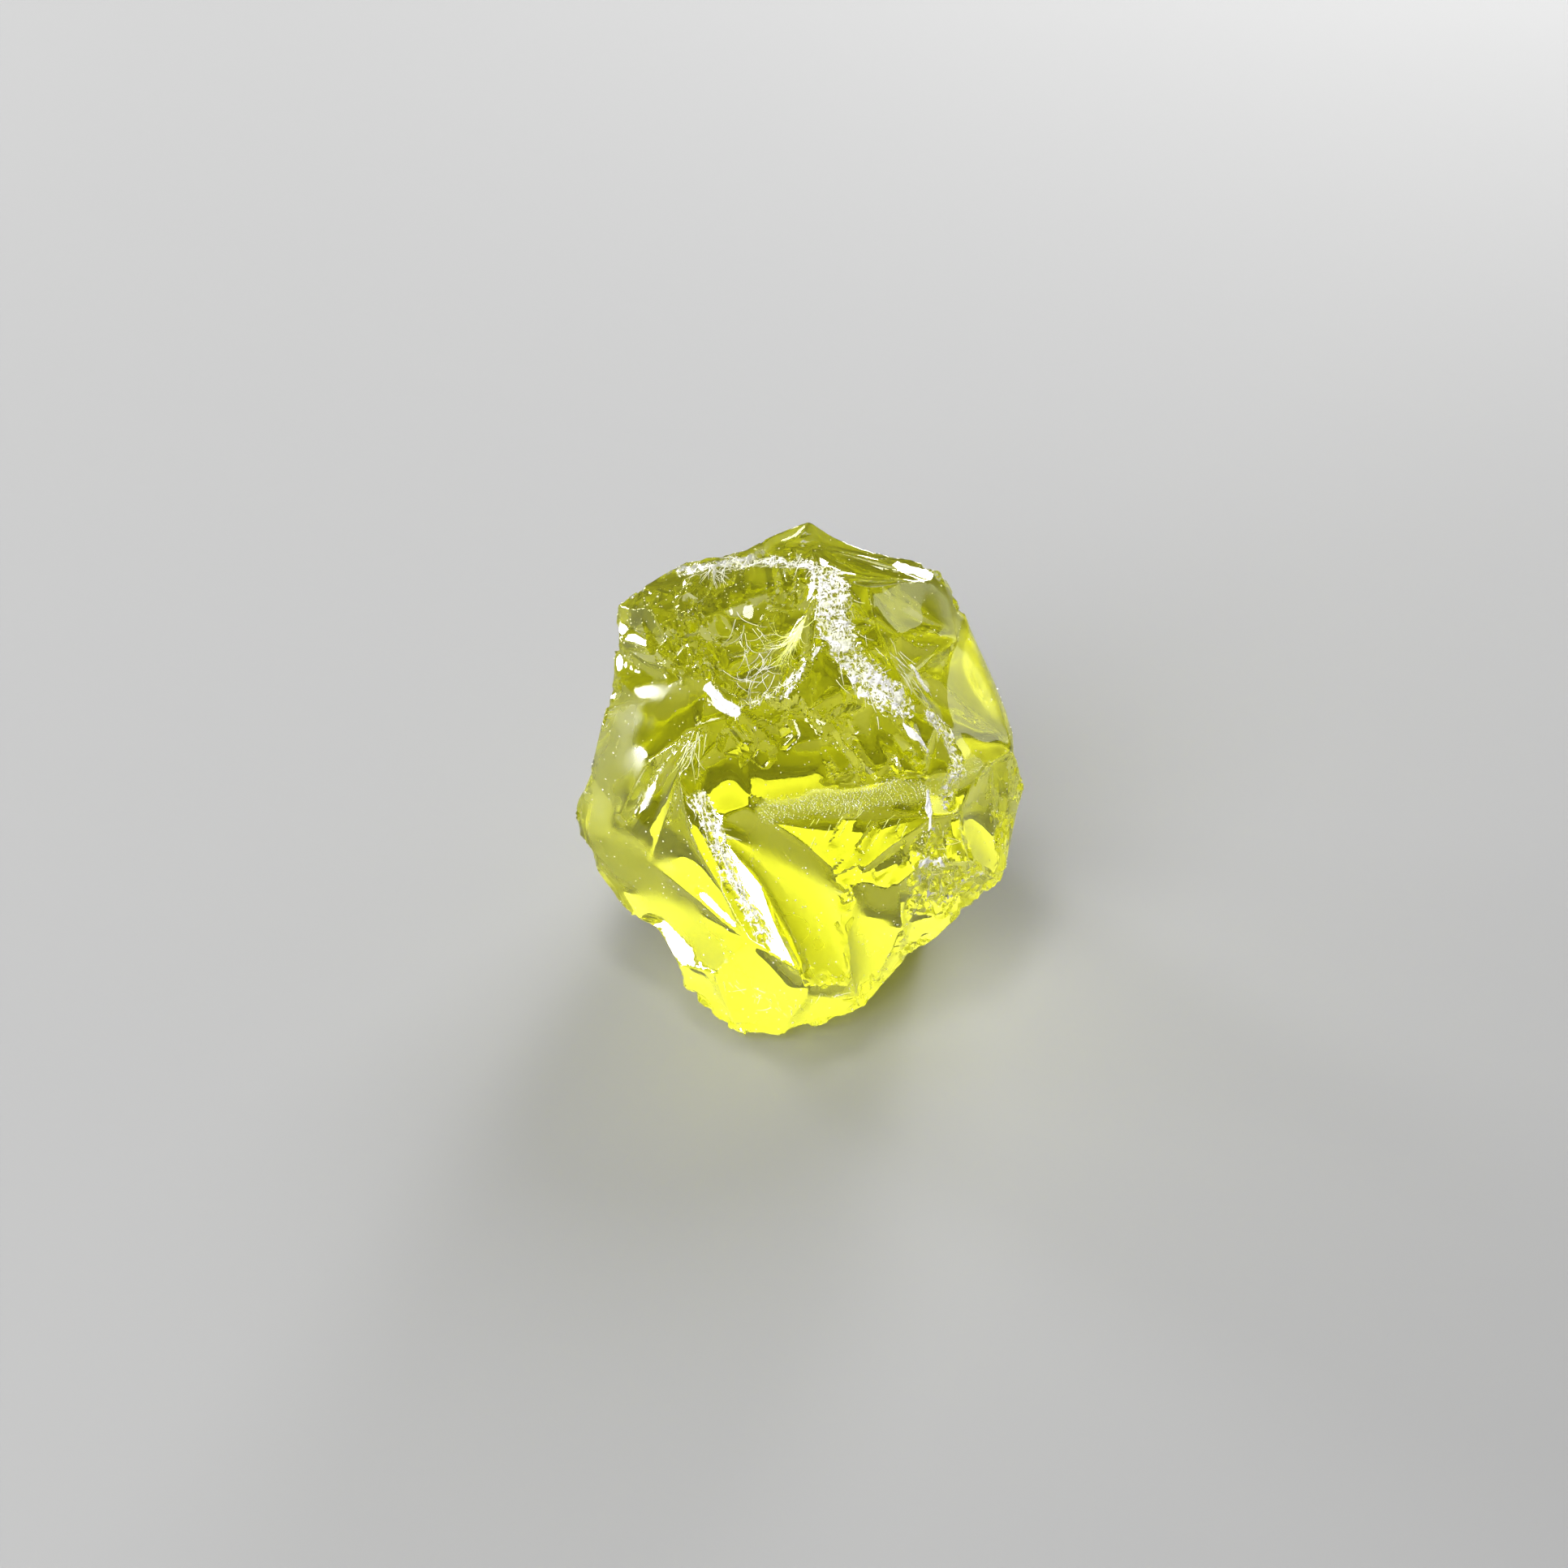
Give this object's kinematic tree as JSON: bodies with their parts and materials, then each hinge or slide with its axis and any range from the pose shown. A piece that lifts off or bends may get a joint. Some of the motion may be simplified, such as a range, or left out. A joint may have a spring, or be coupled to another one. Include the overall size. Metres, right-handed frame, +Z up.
{
  "type": "raw prasiolite stone",
  "caption": "Rough yellow-green quartz stone, clear and glassy, broken into shell-shaped hollows and sharp ridges, with a flat break to rest on.",
  "frame": {"origin": "under the middle of the stone's box, on the flat break that it rests on", "axes": "+Z up from the resting face, +X along the stone's longest side, the broad leaning side with the deep bowl towards -Y"},
  "size_m": [0.03, 0.0282, 0.0273],
  "materials": {
    "crystal": "clear yellow-green quartz, glassy on the breaks and frosted white along the crushed ridge"
  },
  "bodies": {
    "root": {"prasiolite": "crystal"}
  },
  "joints": []
}
